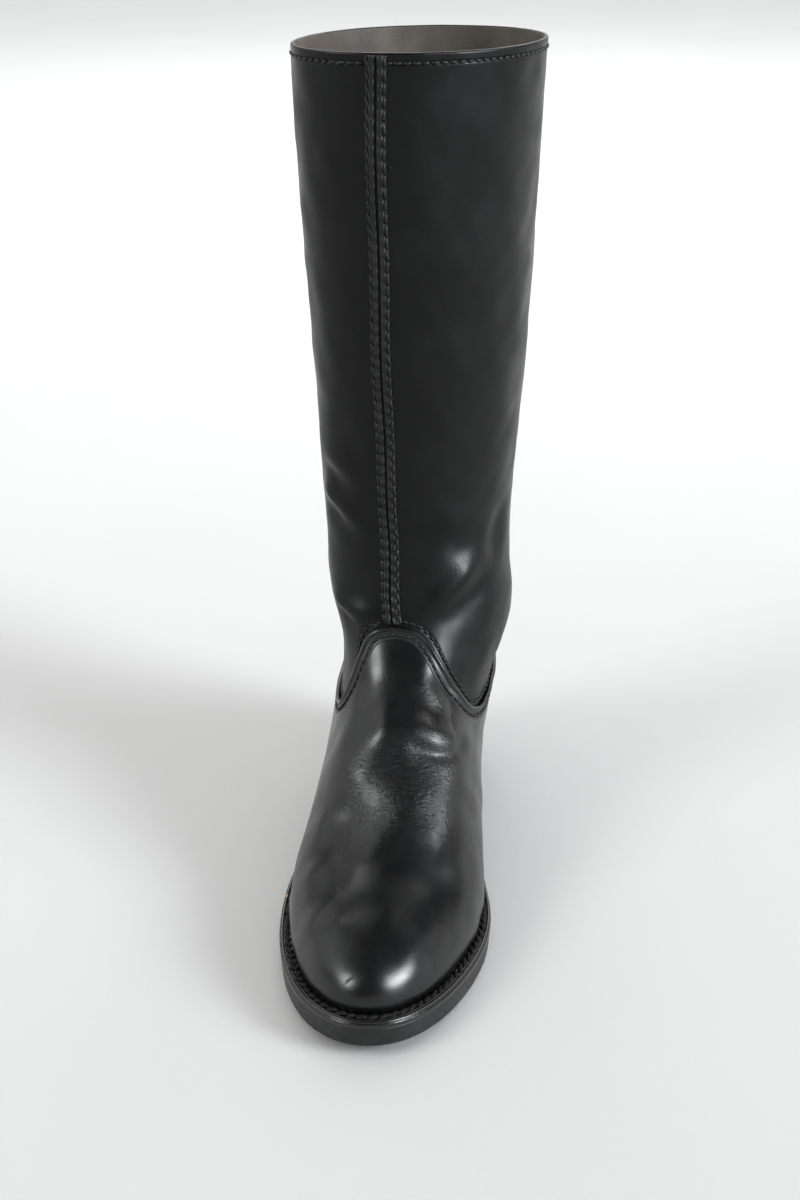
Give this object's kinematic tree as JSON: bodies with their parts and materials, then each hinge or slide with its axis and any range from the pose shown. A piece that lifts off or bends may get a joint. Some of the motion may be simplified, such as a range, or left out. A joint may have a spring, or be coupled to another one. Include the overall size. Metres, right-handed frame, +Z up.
{
  "type": "leather boot",
  "caption": "Tall black pull-on leather boot for the right foot, with a scalloped vamp, raised front seam, stitched welt and low stacked heel.",
  "frame": {"origin": "middle of the boot's box, on the floor", "axes": "+Z up the shaft, -Y to the toe, +X to the wearer's inner side"},
  "size_m": [0.1108, 0.2832, 0.385],
  "materials": {
    "shaft_leather": "satin, fine grain",
    "vamp_leather": "polished, fine grain",
    "seam_leather": "satin",
    "welt_leather": "waxed",
    "sole_edge": "matt",
    "heel_stack": "waxed layers",
    "heel_rubber": "matt",
    "insole_leather": "natural"
  },
  "bodies": {
    "root": {"upper": "shaft_leather", "vamp": "vamp_leather", "front_seam": "seam_leather", "welt": "welt_leather", "outsole": "sole_edge", "heel": "heel_stack", "top_lift": "heel_rubber", "insole": "insole_leather"}
  },
  "joints": []
}
